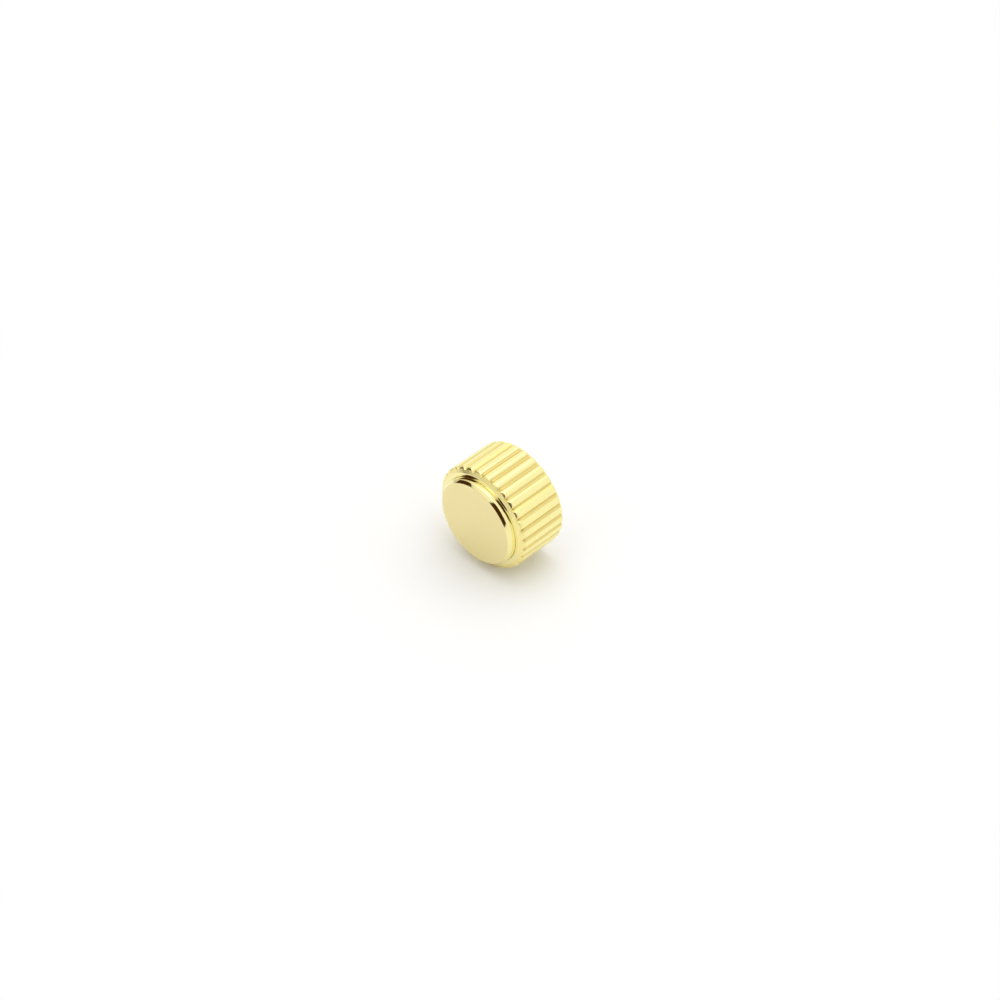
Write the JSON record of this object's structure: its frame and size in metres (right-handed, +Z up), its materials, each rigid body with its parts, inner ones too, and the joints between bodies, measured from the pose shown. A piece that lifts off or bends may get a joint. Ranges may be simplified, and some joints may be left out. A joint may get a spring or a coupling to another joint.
{
  "type": "screw-down watch crown",
  "caption": "Fluted gold watch crown with a raised plain disc and a threaded mouth; a sprung core with a tapped hole for the winding stem slides inside.",
  "frame": {"origin": "on the crown's axis, at the mouth for the case tube, in the plane of the case-side rim", "axes": "+Y along the axis out of the mouth, towards the watch case; -Y towards the raised disc; +Z up, with the crown lying on its fluted rim"},
  "size_m": [0.007, 0.004, 0.007],
  "materials": {
    "polished_gold": "polished yellow gold plate",
    "satin_gold": "fine satin yellow gold plate with a polished edge",
    "turned_steel": "fine turned stainless steel",
    "bronze": "turned bronze",
    "spring_steel": "drawn spring wire",
    "black_rubber": "smooth black rubber"
  },
  "bodies": {
    "head": {"crown_head": "polished_gold", "face_disc": "satin_gold", "thread_sleeve": "turned_steel", "drive_bush": "bronze", "core_spring": "spring_steel", "thrust_washer": "turned_steel", "tube_gasket": "black_rubber", "gasket_washer": "bronze"},
    "core": {"stem_core": "turned_steel"}
  },
  "joints": [
    {"name": "core_slide", "type": "slide", "parent": "head", "child": "core", "axis": [0, -1, 0], "range_m": [0, 0.00065], "stiffness_N_per_m": 800, "springref_m": -0.0004, "deforming": ["core_spring"]}
  ]
}
